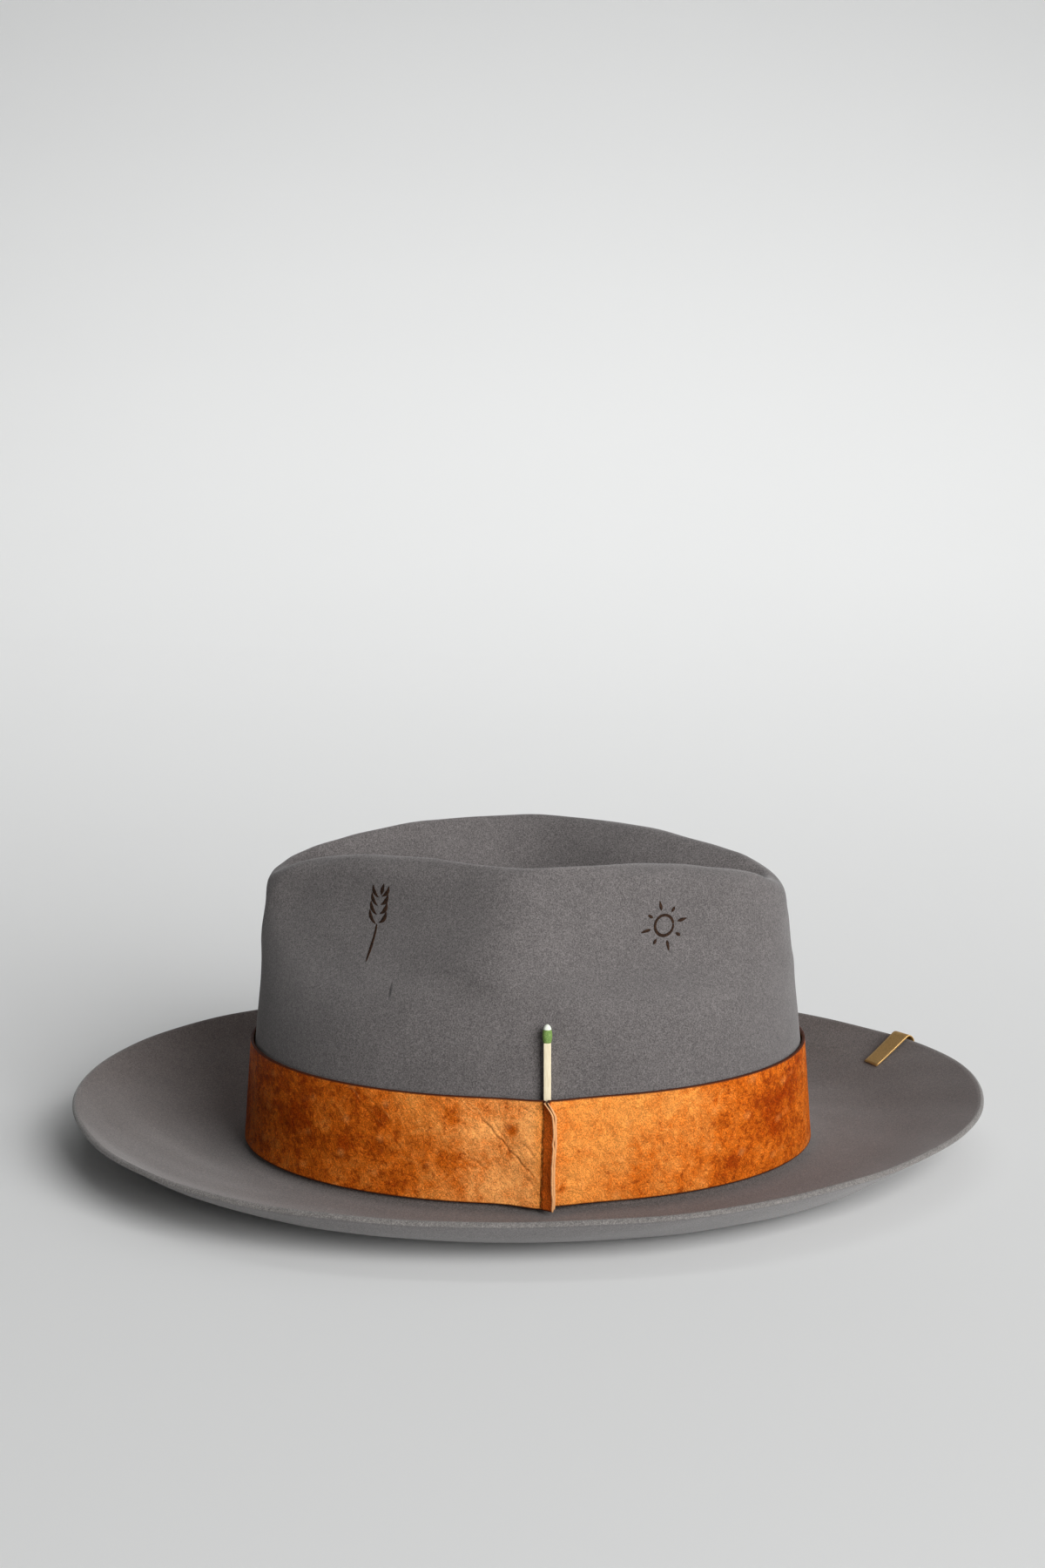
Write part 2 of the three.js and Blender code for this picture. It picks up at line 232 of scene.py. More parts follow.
# %% Skin of the felt between the rings
def felt_skin(v, theta):
    """Points in mm at ring numbers v and angles theta, which broadcast together.

    Between two rings each point runs along a cubic whose end slopes come from the
    neighbouring rings, weighted by the square roots of the distances between them."""
    v, theta = np.broadcast_arrays(np.asarray(v, float), np.asarray(theta, float))
    rings = ring_points(theta)
    rings = np.concatenate([[2 * rings[0] - rings[1]], rings, [2 * rings[-1] - rings[-2]]])
    k = np.clip(np.floor(v).astype(int), 0, LAST_RING - 1)
    t = (v - k)[..., None]
    places = np.indices(v.shape)
    p0, p1, p2, p3 = (rings[(k + i, *places)] for i in range(4))

    def step(a, b):
        return np.sqrt(np.linalg.norm(b - a, axis=-1, keepdims=True))

    d0, d1, d2 = step(p0, p1), step(p1, p2), step(p2, p3)
    t1 = ((p1 - p0) / d0 - (p2 - p0) / (d0 + d1) + (p2 - p1) / d1) * d1
    t2 = ((p2 - p1) / d1 - (p3 - p1) / (d1 + d2) + (p3 - p2) / d2) * d1
    return (
        (2 * t**3 - 3 * t**2 + 1) * p1
        + (t**3 - 2 * t**2 + t) * t1
        + (3 * t**2 - 2 * t**3) * p2
        + (t**3 - t**2) * t2
    )


ridge_height = felt_skin(RING_NUMBER["ridge"], np.radians([0, 90, 180]))[:, 2]
print("ridge height at the back, side and front:", ridge_height.round(1))

# %% Directions off the skin
def unit(vectors):
    """Vectors with their lengths made 1."""
    return vectors / np.linalg.norm(vectors, axis=-1, keepdims=True)


def felt_normals(v, theta, small=0.01):
    """Cross product of the skin's slopes round the hat and across it, which points out of the felt."""
    v, theta = np.broadcast_arrays(np.asarray(v, float), np.asarray(theta, float))
    across = felt_skin(np.minimum(v + small, LAST_RING), theta) - felt_skin(np.maximum(v - small, 0), theta)
    round_hat = felt_skin(v, theta + small) - felt_skin(v, theta - small)
    return unit(np.cross(round_hat, across))


print("direction off the felt at the brim's left edge:", felt_normals(LAST_RING, np.pi / 2).round(2))

# %% [markdown]
# ## The felt body
# The outer face, the raw-cut edge and the face beneath follow each other as rows of one grid,
# so the felt is a closed skin 2 mm thick. Hand-blocked felt is never quite even, so the outer
# face also gets a slow ripple of a few tenths of a millimetre, left out under the band, where
# the felt is drawn tight. Where the hat rests, the face beneath is pressed flat.

# %% Build the felt body
FELT_THICKNESS = 2.0
FELT_COLUMNS = 320
STEPS_BETWEEN_RINGS = [8, 22, 16, 9, 8, 9, 8, 10, 17, 16, 8, 6, 5, 10, 13, 11]
FELT_RIPPLE = 0.22


def felt_ripple(v, theta):
    """Sum of slow waves round and across the hat, faded to nothing between the band's edges."""
    waves = (
        np.sin(3 * theta + 1.1 * v) + 0.7 * np.sin(7 * theta - 2.3 * v + 1.0)
        + 0.5 * np.sin(13 * theta + 3.1 * v + 2.0) + 0.35 * np.sin(23 * theta - 4.7 * v)
    )
    low, high = RING_NUMBER["wall_mid"], RING_NUMBER["rest_inner"]
    fade = np.clip(np.maximum((low + 0.3 - v) / 0.8, (v - high) / 1.5), 0, 1)
    return FELT_RIPPLE * waves * fade * np.clip(v / 2, 0, 1)


v_outer = np.concatenate(
    [k + np.arange(n) / n for k, n in enumerate(STEPS_BETWEEN_RINGS)] + [[LAST_RING]]
)
theta_round = 2 * np.pi * np.arange(FELT_COLUMNS) / FELT_COLUMNS
v_grid, theta_grid = np.meshgrid(v_outer, theta_round, indexing="ij")
felt_out = felt_normals(v_grid, theta_grid)
felt_top = felt_skin(v_grid, theta_grid) + felt_out * felt_ripple(v_grid, theta_grid)[..., None]

edge_point, edge_normal = felt_top[-1], felt_out[-1]
edge_outward = unit(felt_top[-1] - felt_top[-2])
EDGE_STATIONS = [(0.12, 0.16), (0.36, 0.42), (0.5, 0.8), (0.46, 1.15), (0.5, 1.5), (0.33, 1.78), (0.1, 1.94)]
edge_rows = np.stack([edge_point + out * edge_outward - down * edge_normal for out, down in EDGE_STATIONS])
felt_below = (felt_top - FELT_THICKNESS * felt_out)[::-2]
felt_below[..., 2] = np.maximum(felt_below[..., 2], 0)

felt_rows = np.concatenate([felt_top, edge_rows, felt_below])
felt_points, felt_faces = capped(felt_rows)
felt = make_piece("felt_body_skin", felt_points * MM, felt_faces, stands_for="felt_body")
print("felt length, width, height in mm:", np.ptp(felt_rows.reshape(-1, 3), axis=0)[[1, 0, 2]].round(1))

# %% [markdown]
# The material has to know where it is: on the pinched crest, on the raw-cut edge or on the
# face beneath. Each of the three is a number for every point, and the two poles come last.

# %% Mark the felt's crest, cut edge and underside
CREST_RING, CREST_WIDTH = 4.2, 0.22


def bell(away, width):
    """Bell curve that is 1 in its middle and 1/e at its width: exp(-(away / width)^2)."""
    return np.exp(-((away / width) ** 2))


crest_highlight_share, cut_share, below_share = np.zeros((3, *felt_rows.shape[:2]))
# The crest's share drives a painted highlight along the ridge.
crest_highlight_share[:len(felt_top)] = bell(v_grid - CREST_RING, CREST_WIDTH)
cut_share[len(felt_top):len(felt_top) + len(edge_rows)] = 1
below_share[len(felt_top) + len(edge_rows):] = 1
store(felt, "crest", np.concatenate([crest_highlight_share.ravel(), [0, 0]]))
store(felt, "cut_edge", np.concatenate([cut_share.ravel(), [0, 0]]))
store(felt, "underside", np.concatenate([below_share.ravel(), [0, 1]]))
print("points on the cut edge:", int(cut_share.sum()))

# %% [markdown]
# ## The leather band
# One strip of vegetable-tanned leather goes round the crown. Its two ends are turned out
# and joined face to face, which leaves a fin of two layers standing on the left side. The
# strip is a path seen from above, worked out for each height, with the leather's thickness
# laid on both sides of it. Where the match stands behind the strip, the leather bulges.

# %% Path of the band, seen from above
LEATHER_THICKNESS = 1.1
BAND_LOW = {"reach": 105.8, "half": 84.2, "z": 4.4}
BAND_HIGH = {"reach": 103.0, "half": 81.5, "z": 42.3}
SEAM_Y_LOW, SEAM_Y_HIGH = 5.1, 6.0
FIN_LEAN = math.radians(45)
FIN_LENGTH = 5.0
FIN_HALF_GAP = 0.69
FIN_STEPS = 14
TIPS_TOGETHER = 0.56
REAR_ROOT, FRONT_ROOT = 1.3, 0.35
FOLD_REACH = 0.8
BULGE_CENTRE_Y, BULGE_HALF_WIDTH = 6.6, 12.0
BULGE = [3.0, 4.6, 3.2]


def band_size(size, h):
    """One of the band's sizes at height h from 0 to 1, on a line from its low to its high edge."""
    return BAND_LOW[size] + h * (BAND_HIGH[size] - BAND_LOW[size])


def band_wall(theta, h):
    """Middle of the leather at angle theta and height h from 0 to 1: an oval plus the bulge."""
    inset = LEATHER_THICKNESS / 2
    reach, half = band_size("reach", h) - inset, band_size("half", h) - inset
    x, y = half * np.sin(theta), reach * np.cos(theta)
    bulge = np.interp(h, [0, 0.5, 1], BULGE) * bell(y - BULGE_CENTRE_Y, BULGE_HALF_WIDTH)
    return np.stack([x + bulge * (x > 0), y], -1)


print("band height at its middle in mm:", BAND_HIGH["z"] - BAND_LOW["z"])

# %% Layers of the fin
def bend(a, corner, b, t):
    """Quadratic curve from a to b that is pulled towards the corner."""
    return (1 - t) ** 2 * a + 2 * t * (1 - t) * corner + t**2 * b


def fin_reach(h, front):
    """How far a layer of the fin stands out: nearly even, ragged at the top, notched in front."""
    ragged = 0.16 * np.sin(9 * h + 1) + 0.1 * np.sin(23 * h) + 0.06 * np.sin(51 * h + 2)
    top_corner = 2.6 * np.clip((h - 0.88) / 0.12, 0, 1) ** 1.3
    if front:
        notch = 0.6 * bell(h - 0.63, 0.035) + 0.5 * bell(h - 0.86, 0.04)
        return FIN_LENGTH - 0.08 + 0.9 * ragged - notch - top_corner
    return FIN_LENGTH + 0.4 * ragged - 0.8 * top_corner


print("layers of the fin stand out, in mm:", [fin_reach(0.5, front).round(1) for front in (False, True)])

# %% The whole path
def circle(angle):
    """Points on a circle of radius 1, as pairs of cosine and sine."""
    return np.stack([np.cos(angle), np.sin(angle)], -1)


def distance_along(line):
    """Distance gone at each point of a line: the sum of the steps before it."""
    return np.concatenate([[0], np.cumsum(np.linalg.norm(np.diff(line, axis=0), axis=-1))])


def band_path(h):
    """Middle line of the strip for heights h: rear fin layer, round the crown, front fin layer."""
    h = h[:, None]
    reach = band_size("reach", h)
    seam_y = SEAM_Y_LOW + h * (SEAM_Y_HIGH - SEAM_Y_LOW)
    seam = band_wall(np.arccos(seam_y / reach), h)
    along = circle(FIN_LEAN)
    side = np.array([-along[1], along[0]]) * FIN_HALF_GAP
    first = np.arccos((seam_y + FOLD_REACH) / reach)
    last = np.arccos((seam_y - FOLD_REACH) / reach) - 2 * np.pi
    share = np.concatenate(
        [np.linspace(0, 0.05, 60)[:-1], np.linspace(0.05, 0.88, 250)[:-1], np.linspace(0.88, 1, 170)]
    )
    wall = band_wall(first + (last - first) * share[None, :], h)
    corner_step = FIN_HALF_GAP / math.cos(FIN_LEAN)
    rear_corner = seam + np.array([0, corner_step])
    front_corner = seam - np.array([0, corner_step])
    outward = np.concatenate([[0, 0.05], np.linspace(0.12, 1, FIN_STEPS - 2)])[None, :, None]
    sideways = (0.22 * np.sin(0.9 + 11 * h) - 2.2 * np.clip((h - 0.84) / 0.16, 0, 1) ** 1.6)[..., None]
    tip_shift = sideways * side / FIN_HALF_GAP
    rear_tip = seam + TIPS_TOGETHER * side + along * fin_reach(h, False)[..., None] + 0.9 * tip_shift
    front_tip = seam - TIPS_TOGETHER * side + along * fin_reach(h, True)[..., None] + tip_shift
    rear_root, front_root = seam + side + along * REAR_ROOT, seam - side + along * FRONT_ROOT
    t = np.linspace(0, 1, 15)[1:-1][None, :, None]
    return np.concatenate([
        rear_tip + (rear_root - rear_tip) * outward,
        bend(rear_root, rear_corner, wall[:, :1], t),
        wall,
        bend(wall[:, -1:], front_corner, front_root, t),
        (front_tip + (front_root - front_tip) * outward)[:, ::-1],
    ], axis=1)


along_strip = distance_along(band_path(np.array([0.5]))[0])
print("length of the strip with its turned-out ends in mm:", along_strip[-1].round(1))

# %% [markdown]
# ## Creases in the leather
# The leather near the seam was folded before it was fitted, and keeps a few slanting creases.
# Each crease is a short line on the band with a width and a depth. The outer face sinks by
# the depth times a bell curve of the distance to the line, and a lip half as high rises
# beside it. The hide's dark spots are listed in the same way, with a place, a size and a
# strength, for the material to read later.

# %% Creases and spots of the hide
LEATHER_CREASES = [
    (-20.7, 39.8, 3.6, 13.4, 0.38, 0.36), (-14.1, 36.6, -4.6, 23.2, 0.36, 0.22),
    (-25.0, 41.4, -16.5, 34.2, 0.35, 0.20), (-25.6, 23.5, -15.6, 17.6, 0.40, 0.22),
    (-15.6, 17.6, -9.4, 15.4, 0.40, 0.14), (-4.1, 29.6, 4.0, 20.4, 0.38, 0.20),
    (-3.5, 40.6, 3.8, 36.6, 0.35, 0.24), (-0.5, 41.8, 4.2, 38.9, 0.30, 0.26),
    (-1.5, 16.0, 3.8, 8.6, 0.40, 0.20), (-31.5, 39.0, -24.0, 31.5, 0.45, 0.14),
    (-62.0, 39.0, -50.0, 27.0, 0.50, 0.16), (-56.0, 38.5, -47.5, 30.0, 0.40, 0.10),
    (9.8, 9.2, 12.6, 12.6, 0.50, 0.30), (7.2, 36.5, 16.0, 35.2, 0.35, 0.08),
    (-34.0, 24.0, -22.0, 18.5, 0.50, 0.10), (38.0, 30.0, 52.0, 26.0, 0.60, 0.10),
]
LIP_HEIGHT, LIP_DISTANCE = 0.5, 2.1
LEATHER_SPOTS = [
    (-5.7, 31.4, 1.5, 0.20), (-5.9, 32.2, 3.2, 0.14), (-26.8, 34.6, 3.0, 0.22), (-28.5, 19.8, 6.0, 0.20),
    (-59.8, 38.3, 3.5, 0.18), (-64.9, 21.5, 4.0, 0.18), (-51.6, 31.4, 4.0, 0.18), (-52.5, 18.8, 5.0, 0.16),
    (-84.0, 25.0, 6.0, 0.08), (69.0, 27.8, 3.0, 0.22), (59.7, 17.6, 2.5, 0.14), (71.8, 10.3, 4.0, 0.12),
    (86.0, 30.0, 6.0, 0.14), (87.0, 20.0, 5.0, 0.12), (43.0, 19.7, 2.0, 0.14), (11.6, 10.8, 1.6, 0.24),
]


def leather_relief(y, z):
    """Height of the hide at a place on the near side: slow unevenness, creases and their lips."""
    depth = 0.05 * np.sin(0.31 * y + 0.2 * z) * np.sin(0.27 * z - 0.13 * y + 1)
    depth += 0.03 * np.sin(0.9 * y - 0.4 * z + 2) * np.sin(0.7 * z + 0.3 * y)
    for y0, z0, y1, z1, width, deep in LEATHER_CREASES:
        line = np.array([y1 - y0, z1 - z0])
        length = np.hypot(*line)
        t = ((y - y0) * line[0] + (z - z0) * line[1]) / length**2
        aside = ((y - y0) * line[1] - (z - z0) * line[0]) / length
        aside = aside + 0.25 * np.sin(0.9 * t * length + y0) + 0.05 * np.sin(2.3 * t * length)
        past_end = np.maximum(np.abs(t - 0.5) - 0.5, 0) * length
        away = np.hypot(aside, past_end)
        fade = np.sin(np.pi * np.clip(t, 0.06, 0.94)) ** 0.5
        depth -= deep * fade * bell(away, width)
        lip_away = np.hypot(aside + LIP_DISTANCE * width, past_end)
        depth += LIP_HEIGHT * deep * fade * bell(lip_away, width)
    return depth


def leather_spots(y, z):
    """Strength of the hide's dark spots at a place: a bell curve round the middle of each."""
    return sum(dark * bell(np.hypot(y - y0, z - z0), size) for y0, z0, size, dark in LEATHER_SPOTS)


print(len(LEATHER_CREASES), "creases and", len(LEATHER_SPOTS), "dark spots")

# %% [markdown]
# ## Building the band
# The strip's section is a loop of points: up the outer face, over the rounded top edge, down
# the inner face and under the low edge. Each point has a height and a side, and the path at
# that height is moved to its side by half the leather's thickness. The leather is thinned at
# the fold, and skived towards the fin's ends as a maker does, so that the fin isn't clumsy.

# %% Section of the strip
BAND_ROWS = 76
RIM = 0.28

h_outer = np.linspace(0, 1, BAND_ROWS)
rim_angle = np.radians([45, 90, 135])
face_lift = RIM * (1 - 2 * h_outer)
h_loop = np.concatenate([h_outer, [1, 1, 1], h_outer[::-1], [0, 0, 0]])
side_loop = np.concatenate([np.ones(BAND_ROWS), np.cos(rim_angle), -np.ones(BAND_ROWS), -np.cos(rim_angle)])
lift_loop = np.concatenate([
    face_lift, -RIM * (1 - np.sin(rim_angle)), face_lift[::-1], RIM * (1 - np.sin(rim_angle)),
])

print(len(h_loop), "points round the section")

# %% Lay the section along the path
ROOT_THINNED, ROOT_REACH, ROOT_INSIDE_X = 0.3, 1.6, 89.5
SKIVED, SKIVE_LENGTH = 0.34, 3
SAG, SAG_REACH = 0.9, 9

path = band_path(h_loop)
tangent = unit(np.gradient(path, axis=1))
outward = np.stack([tangent[..., 1], -tangent[..., 0]], -1)
if (outward[0, len(path[0]) // 2] * path[0, len(path[0]) // 2]).sum() < 0:
    outward = -outward
at_root = (path[..., 0] > 0) * (path[..., 0] < ROOT_INSIDE_X)
thinned = ROOT_THINNED * bell(path[..., 1] - BULGE_CENTRE_Y, ROOT_REACH) * at_root
past_root = np.maximum(along_strip - along_strip[-FIN_STEPS], along_strip[FIN_STEPS - 1] - along_strip)
skived = SKIVED * np.clip(past_root / SKIVE_LENGTH, 0, 1)
half_thick = (LEATHER_THICKNESS - thinned - skived) / 2
plan = path + outward * (side_loop[:, None] * half_thick)[..., None]
rise = band_size("z", h_loop) + lift_loop
height = np.repeat(rise[:, None], path.shape[1], axis=1)
front_of_seam = np.arange(path.shape[1]) > path.shape[1] // 2
sag = SAG * bell(path[..., 1] - SEAM_Y_LOW, SAG_REACH) * front_of_seam * (path[..., 0] > 0)
height = height - sag * (1 - h_loop[:, None])
on_near_wall = (plan[..., 0] > 0) & (side_loop[:, None] > 0.9)
relief = leather_relief(plan[..., 1], height) * on_near_wall
plan = plan + outward * relief[..., None]
band_grid = np.concatenate([plan, height[..., None]], -1).transpose(1, 0, 2)
print("band height with its rims and sag in mm:", np.ptp(band_grid[..., 2]).round(1))

# %% Build the band
stations, around = band_grid.shape[:2]
near, far = np.arange(BAND_ROWS), around - 4 - np.arange(BAND_ROWS)
across = np.stack([near[:-1], far[:-1], far[1:], near[1:]], -1)
top_rim = np.arange(BAND_ROWS + 3, BAND_ROWS - 2, -1)
low_rim = np.array([0, *range(around - 1, around - 5, -1)])
first_end = [across, top_rim[None], low_rim[None]]
last_end = [cells[:, ::-1] + (stations - 1) * around for cells in first_end]
band_faces = [grid_cells(stations, around, closed=True), *first_end, *last_end]
band = make_piece("leather_band_strip", band_grid * MM, band_faces, stands_for="leather_band")

# %% Mark what the leather's material reads
cut_end = np.zeros((stations, around))
cut_end[:2], cut_end[-2:] = 1, 1
# The face's first row at the top and at the bottom counts as rim too, which widens the dark line of burnish
# and painted shade.
at_edge = (np.abs(side_loop) < 0.9) | ((side_loop > 0.9) & ((h_loop < 0.001) | (h_loop > 0.999)))
rim_share = np.tile(at_edge, (stations, 1))
inner_share = np.tile(side_loop < -0.9, (stations, 1))
store(band, "cut_end", cut_end)
store(band, "rim", rim_share)
store(band, "flesh_side", inner_share)
store(band, "along_strip", np.repeat(along_strip * MM, around))
store(band, "past_root", np.repeat(past_root, around))
store(band, "crease", -relief.T)
store(band, "spot", (leather_spots(path[..., 1], height) * on_near_wall).T)
print("deepest crease in mm:", -relief.min().round(2))

# %% [markdown]
# ## The match
# A household match stands between the crown and the band. Its stick is sawn square from a
# pale soft wood, so its corners are crisp but not sharp. Its head was dipped twice, first in
# green and then at the tip in white, which gives two rounded drops on one axis.

# %% Build the match's stick
STICK_HALF = 1.3
STICK_CORNER = 0.28
STICK_LOW_Z, STICK_HIGH_Z = 21.0, 61.6
MATCH_X, MATCH_Y, MATCH_SLOPE, MATCH_AT_Z = 81.5, 6.6, -0.12, 42.3


def match_axis(z):
    """Points on the match's leaning axis at heights z."""
    z = np.asarray(z, float)
    return np.stack([MATCH_X + MATCH_SLOPE * (z - MATCH_AT_Z), np.full_like(z, MATCH_Y), z], -1)


def closed_tube(name, loops, stands_for):
    """A piece from equal loops of points in mm."""
    points, faces = capped(loops)
    return make_piece(name, points * MM, faces, stands_for=stands_for)


turn = np.radians(np.arange(0, 360, 15))
square = np.sign(circle(turn + 0.01)) * (STICK_HALF - STICK_CORNER) + STICK_CORNER * circle(turn)
stick_z = np.concatenate([[0, 0.08, 0.25], np.linspace(0.8, 39.8, 40), [40.35, 40.52, 40.6]]) + STICK_LOW_Z
end_heights = [STICK_LOW_Z, STICK_LOW_Z + 0.25, STICK_HIGH_Z - 0.25, STICK_HIGH_Z]
stick_size = np.interp(stick_z, end_heights, [0.92, 1, 1, 0.92])
stick_size = stick_size + 0.008 * np.sin(1.3 * stick_z) + 0.006 * np.sin(2.9 * stick_z)
stick_loops = np.zeros((len(stick_z), len(turn), 3))
stick_loops[..., :2] = square[None] * stick_size[:, None, None]
stick_loops += match_axis(stick_z)[:, None]
stick = closed_tube("match_stick_wood", stick_loops, "match_stick")

# %% Build the dipped head
def dipped_drop(name, foot, profile, stands_for, squareness):
    """A drop of dried compound: its radius follows the profile and is slightly squared like the stick."""
    up, radius = np.array(profile).T
    around = np.linspace(0, 2 * np.pi, 40, endpoint=False)
    fullness = 1 + squareness * np.abs(np.sin(2 * around)) ** 2
    lumps = 1 + 0.012 * np.sin(3 * around + 1)[None] * np.sin(1.9 * up)[:, None]
    reach = radius[:, None] * fullness[None] * lumps
    loops = np.stack([reach * np.cos(around), reach * np.sin(around), np.zeros_like(reach)], -1)
    return closed_tube(name, loops + match_axis(foot + up)[:, None], stands_for)


HEAD_PROFILE = [
    (0.00, 1.28), (0.05, 1.36), (0.20, 1.44), (0.50, 1.52), (0.95, 1.61), (1.50, 1.68), (2.10, 1.72),
    (2.80, 1.72), (3.40, 1.67), (3.90, 1.60), (4.30, 1.50), (4.44, 1.44), (4.50, 1.36),
]
TIP_PROFILE = [
    (0.00, 1.38), (0.06, 1.43), (0.25, 1.40), (0.60, 1.30), (0.95, 1.12), (1.25, 0.90), (1.52, 0.60),
    (1.68, 0.34), (1.74, 0.12),
]
head = dipped_drop("match_head_drop", STICK_HIGH_Z + 0.04, HEAD_PROFILE, "match_head", 0.04)
tip = dipped_drop("match_tip_drop", STICK_HIGH_Z + 4.58, TIP_PROFILE, "match_tip", 0.02)

# %% [markdown]
# ## The brass clip
# A strip of thin sheet brass is folded over the brim's edge at the right back and pressed
# down on both faces of the felt. It was pushed on a little askew, and its fold stands slightly
# off the felt. Each line along the strip runs over the felt, lifted by the gap and its place in
# the metal, turns round the cut edge in a flattened arc, and comes back beneath. A section with
# filed corners says how many such lines there are and where they lie.

# %% Lines along the clip
CLIP_ANGLE = math.radians(331.6)
CLIP_SKEW = math.radians(2.2)
CLIP_STAND = 0.8
CLIP_REACH = 155.0
CLIP_TOP_LENGTH, CLIP_UNDER_LENGTH = 18.5, 11.0
CLIP_PAST_EDGE, CLIP_FOLD_DEPTH = 0.3, 0.6


def off_felt(v, theta, lift):
    """Points that stand off the skin by the lift, along its normals."""
    return felt_skin(v, theta) + felt_normals(v, theta) * lift[..., None]


def ring_at_distance(distance, theta):
    """Ring number at a distance in from the brim's edge, found along a finely stepped line."""
    v = np.linspace(LAST_RING, LAST_RING - 3, 600)
    line = felt_skin(v, np.full_like(v, theta))
    return np.interp(distance, distance_along(line), v)


def clip_layer(theta, lift):
    """Clip's path for a column of angles theta, lifted off the felt: over, round the edge, under."""
    inner = ring_at_distance(CLIP_TOP_LENGTH, CLIP_ANGLE + CLIP_SKEW)
    under = ring_at_distance(CLIP_UNDER_LENGTH, CLIP_ANGLE)
    theta = theta[None, :]
    share = np.linspace(0, 1, 22)[:, None]
    v_over, turned = inner + (LAST_RING - inner) * share, theta + CLIP_SKEW * (1 - share)
    over = off_felt(v_over, turned, lift + CLIP_STAND * share)
    edge, normal = felt_skin(LAST_RING, theta), felt_normals(LAST_RING, theta)
    outward = unit(edge - felt_skin(LAST_RING - 0.05, theta))
    angle = np.radians(np.linspace(75, -75, 11))[:, None, None]
    radius = (FELT_THICKNESS / 2 + lift)[None, :, None] + CLIP_STAND * (1 + np.sin(angle)) / 2
    middle = edge - normal * FELT_THICKNESS / 2
    past_edge = CLIP_FOLD_DEPTH * radius * np.cos(angle) + CLIP_PAST_EDGE
    round_edge = middle + outward * past_edge + normal * radius * np.sin(angle)
    share = np.linspace(0, 1, 14)[:, None]
    v_back = LAST_RING + (under - LAST_RING) * share
    turned = theta + CLIP_SKEW * share * CLIP_UNDER_LENGTH / CLIP_TOP_LENGTH
    back = off_felt(v_back, turned, -(FELT_THICKNESS + lift))
    return np.concatenate([over, round_edge, back])


print("skew of the clip in degrees:", round(math.degrees(CLIP_SKEW), 1))

# %% Build the clip
CLIP_HALF_WIDTH = 4.6
CLIP_THICKNESS = 0.7
CLIP_LIFT = 0.45
CLIP_ROUND = 0.16

wide, low, high = CLIP_HALF_WIDTH, CLIP_LIFT, CLIP_LIFT + CLIP_THICKNESS
flat = (wide - CLIP_ROUND) * np.linspace(-1, 1, 7)
top_face, low_face = (np.stack([flat, np.full(7, level)], -1) for level in (high, low))
filed = 0.3 * CLIP_ROUND
filed_side = np.array([
    [wide - filed, high - filed], [wide, high - CLIP_ROUND],
    [wide, low + CLIP_ROUND], [wide - filed, low + filed],
])
section = np.concatenate([top_face, filed_side, low_face[::-1], filed_side[::-1] * [-1, 1]])
clip_loops = clip_layer(CLIP_ANGLE + section[:, 0] / CLIP_REACH, section[:, 1])
clip = closed_tube("brim_clip_strip", clip_loops, "brim_clip")
print("clip size in mm:", np.ptp(clip_loops.reshape(-1, 3), axis=0).round(1))

# %% [markdown]
# ## Marks burned into the crown
# Two small ornaments are burned into the left wall with a hot pen: an ear of wheat towards
# the front and a sun towards the back. A pen stroke is a line with a width that swells and
# tapers. Each stroke is drawn in a plane seen from the side, with y along the hat and z up,
# and then laid on the felt by finding the ring number and angle that lie under each point.

# %% Find the skin under a point
def felt_under(y, z, rounds=14):
    """Ring numbers and angles whose skin lies at y and z on the left side, by Newton's method.

    Each round measures the skin's slopes with two small steps and solves two equations."""
    v = np.full_like(y, 6.2)
    theta = np.arccos(np.clip(y / 97, -0.95, 0.95))
    small = 1e-4
    for _ in range(rounds):
        here = felt_skin(v, theta)[..., 1:]
        slope_v = (felt_skin(v + small, theta)[..., 1:] - here) / small
        slope_t = (felt_skin(v, theta + small)[..., 1:] - here) / small
        miss = np.stack([y, z], -1) - here
        area = slope_v[..., 0] * slope_t[..., 1] - slope_v[..., 1] * slope_t[..., 0]
        step_v = (miss[..., 0] * slope_t[..., 1] - miss[..., 1] * slope_t[..., 0]) / area
        step_t = (slope_v[..., 0] * miss[..., 1] - slope_v[..., 1] * miss[..., 0]) / area
        v = np.clip(v + np.clip(step_v, -0.4, 0.4), 4.6, 9.0)
        theta = np.clip(theta + np.clip(step_t, -0.2, 0.2), 0.2, np.pi - 0.2)
    return v, theta


print("ring number 90 mm up:", felt_under(np.array([0.0]), np.array([90.0]))[0].round(2))

# %% Pen strokes
STROKE_LOW, STROKE_HIGH = 0.03, 0.12


def pen_stroke(line, half_width, taper=0.7):
    """Closed flat strip along a line of y and z, as loops: half its width is w * sin(pi s)^taper."""
    s = np.linspace(0, 1, len(line))
    ahead = np.gradient(line, axis=0)
    aside = unit(np.stack([-ahead[:, 1], ahead[:, 0]], -1))
    swell = np.maximum(np.sin(np.pi * s), 0.004) ** taper
    half = half_width * swell * (1 + 0.08 * np.sin(9 * s + line[0, 0]))
    place = np.array([-1, -0.5, 0, 0.5, 1, 1, 0.5, 0, -0.5, -1])
    lift = np.array([0.05, 0.1, STROKE_HIGH, 0.1, 0.05] + [STROKE_LOW] * 5)
    flat = line[:, None] + aside[:, None] * (half[:, None] * place)[..., None]
    v, theta = felt_under(flat[..., 0], flat[..., 1])
    return off_felt(v, theta, felt_ripple(v, theta) + lift)


def line_of(start, pull, end, count=24):
    """Curve from start to end drawn towards the pull point."""
    t = np.linspace(0, 1, count)[:, None]
    return bend(np.array(start, float), np.array(pull, float), np.array(end, float), t)


def burned_mark(name, strokes):
    """One piece from several strokes, each a closed strip with its own ends."""
    points, faces = [], []
    for loops in strokes:
        stroke_points, stroke_faces = capped(loops, first=sum(map(len, points)))
        points.append(stroke_points)
        faces += stroke_faces
    return make_piece(name, np.concatenate(points) * MM, faces)


print("strokes stand", STROKE_HIGH, "mm off the felt")

